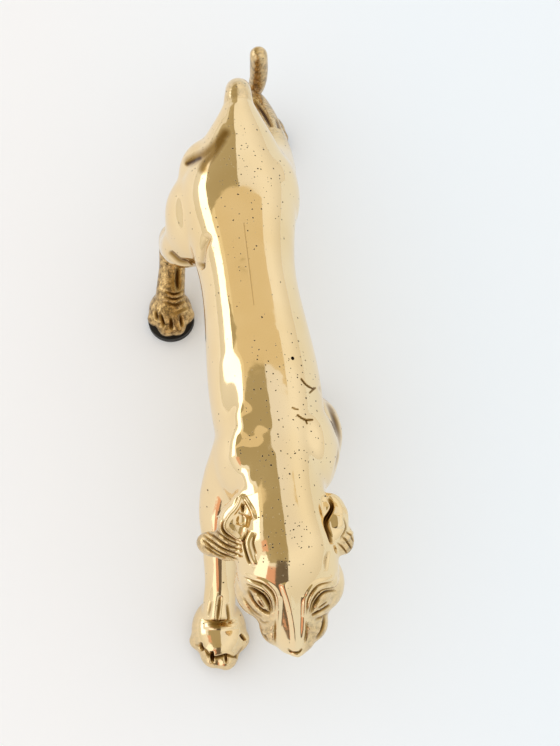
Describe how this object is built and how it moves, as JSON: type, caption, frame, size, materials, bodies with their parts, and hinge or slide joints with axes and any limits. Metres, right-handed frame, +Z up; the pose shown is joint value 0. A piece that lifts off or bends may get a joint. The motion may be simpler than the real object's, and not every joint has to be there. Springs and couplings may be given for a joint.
{
  "type": "hood ornament",
  "caption": "Bonnet figure of a prowling big cat in polished cast brass, built from hollow shells, a head, legs and a tail, standing on round rubber pads.",
  "frame": {"origin": "middle of the figure's bounding box, on the ground under the pads", "axes": "+Z up, -Y the way the cat walks, +X to the cat's left"},
  "size_m": [0.071, 0.2472, 0.0832],
  "materials": {
    "polished_brass": "polished",
    "brass_pins": "polished",
    "rubber_pad": "matte"
  },
  "bodies": {
    "root": {"body_shell_left": "polished_brass", "body_shell_right": "polished_brass", "core_plugs": "brass_pins", "head": "polished_brass", "left_front_leg": "polished_brass", "left_front_pad": "rubber_pad", "left_rear_leg": "polished_brass", "left_rear_pad": "rubber_pad", "right_front_leg": "polished_brass", "right_front_pad": "rubber_pad", "right_rear_leg": "polished_brass", "right_rear_pad": "rubber_pad", "seam_dowels": "brass_pins", "tail": "polished_brass"}
  },
  "joints": []
}
